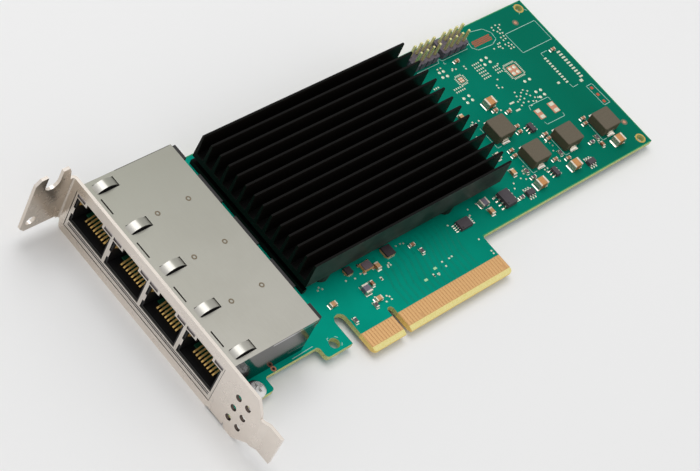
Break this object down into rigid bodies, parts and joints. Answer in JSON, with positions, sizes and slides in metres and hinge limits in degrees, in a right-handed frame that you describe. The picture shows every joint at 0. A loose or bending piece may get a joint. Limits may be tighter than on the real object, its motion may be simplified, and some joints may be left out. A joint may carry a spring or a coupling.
{
  "type": "network interface card",
  "caption": "Low profile network card: green board with gold edge contacts, finned black heat sink, shielded row of network sockets and bent metal bracket.",
  "frame": {"origin": "lower edge of the board at the middle of the key notch, on the component face", "axes": "+X along the card from the bracket to the rear, +Y up from the edge contacts, +Z out of the component side"},
  "size_m": [0.1818, 0.0801, 0.0233],
  "materials": {
    "board_laminate": "glossy green solder mask",
    "gold_plating": "satin gold plating",
    "bracket_nickel": "bright nickel plating",
    "screw_steel": "bright zinc",
    "shield_nickel": "satin nickel plating",
    "housing_plastic": "satin black",
    "contact_board_laminate": "dark green",
    "lamp_window": "smoky grey",
    "sink_black": "black anodised",
    "package_laminate": "dull green",
    "package_lid": "satin nickel",
    "thermal_pad": "soft matt",
    "header_plastic": "matt dark grey",
    "inductor_core": "matt brown grey",
    "chip_mould": "matt charcoal",
    "bead_ferrite": "matt grey",
    "clock_ceramic": "matt tan",
    "capacitor_ceramic": "matt tan ceramic",
    "solder_tin": "bright tin"
  },
  "bodies": {
    "root": {"board": "board_laminate", "bracket": "bracket_nickel", "bracket_screw": "screw_steel", "clock_base": "clock_ceramic", "clock_lid": "package_lid", "controller_base": "package_laminate", "controller_lid": "package_lid", "controller_thermal_pad": "thermal_pad", "edge_contacts_component_side": "gold_plating", "edge_contacts_solder_side": "gold_plating", "ferrite_bead_bodies": "bead_ferrite", "ferrite_bead_end_caps": "solder_tin", "heat_sink": "sink_black", "heat_sink_screws": "screw_steel", "inductor_clips": "solder_tin", "jack_housing": "housing_plastic", "jack_shield": "shield_nickel", "large_capacitor_bodies": "capacitor_ceramic", "large_capacitor_end_caps": "solder_tin", "logic_chips": "chip_mould", "medium_capacitor_bodies": "capacitor_ceramic", "medium_capacitor_end_caps": "solder_tin", "monitor_chip": "chip_mould", "monitor_leads": "solder_tin", "pin_header_a_base": "header_plastic", "pin_header_a_pins": "gold_plating", "pin_header_b_base": "header_plastic", "pin_header_b_pins": "gold_plating", "port_1_contact_board": "contact_board_laminate", "port_1_contacts": "gold_plating", "port_1_lamp_windows": "lamp_window", "port_2_contact_board": "contact_board_laminate", "port_2_contacts": "gold_plating", "port_2_lamp_windows": "lamp_window", "port_3_contact_board": "contact_board_laminate", "port_3_contacts": "gold_plating", "port_3_lamp_windows": "lamp_window", "port_4_contact_board": "contact_board_laminate", "port_4_contacts": "gold_plating", "port_4_lamp_windows": "lamp_window", "port_ground_springs": "gold_plating", "power_inductor_1": "inductor_core", "power_inductor_2": "inductor_core", "power_inductor_3": "inductor_core", "power_inductor_4": "inductor_core", "regulator_chip": "chip_mould", "regulator_leads": "solder_tin", "resistor_bodies": "chip_mould", "resistor_end_caps": "solder_tin", "small_capacitor_bodies": "capacitor_ceramic", "small_capacitor_end_caps": "solder_tin", "switch_chips": "chip_mould", "switch_leads": "solder_tin", "transceiver_base": "package_laminate", "transceiver_lid": "package_lid", "transceiver_thermal_pad": "thermal_pad"}
  },
  "joints": []
}
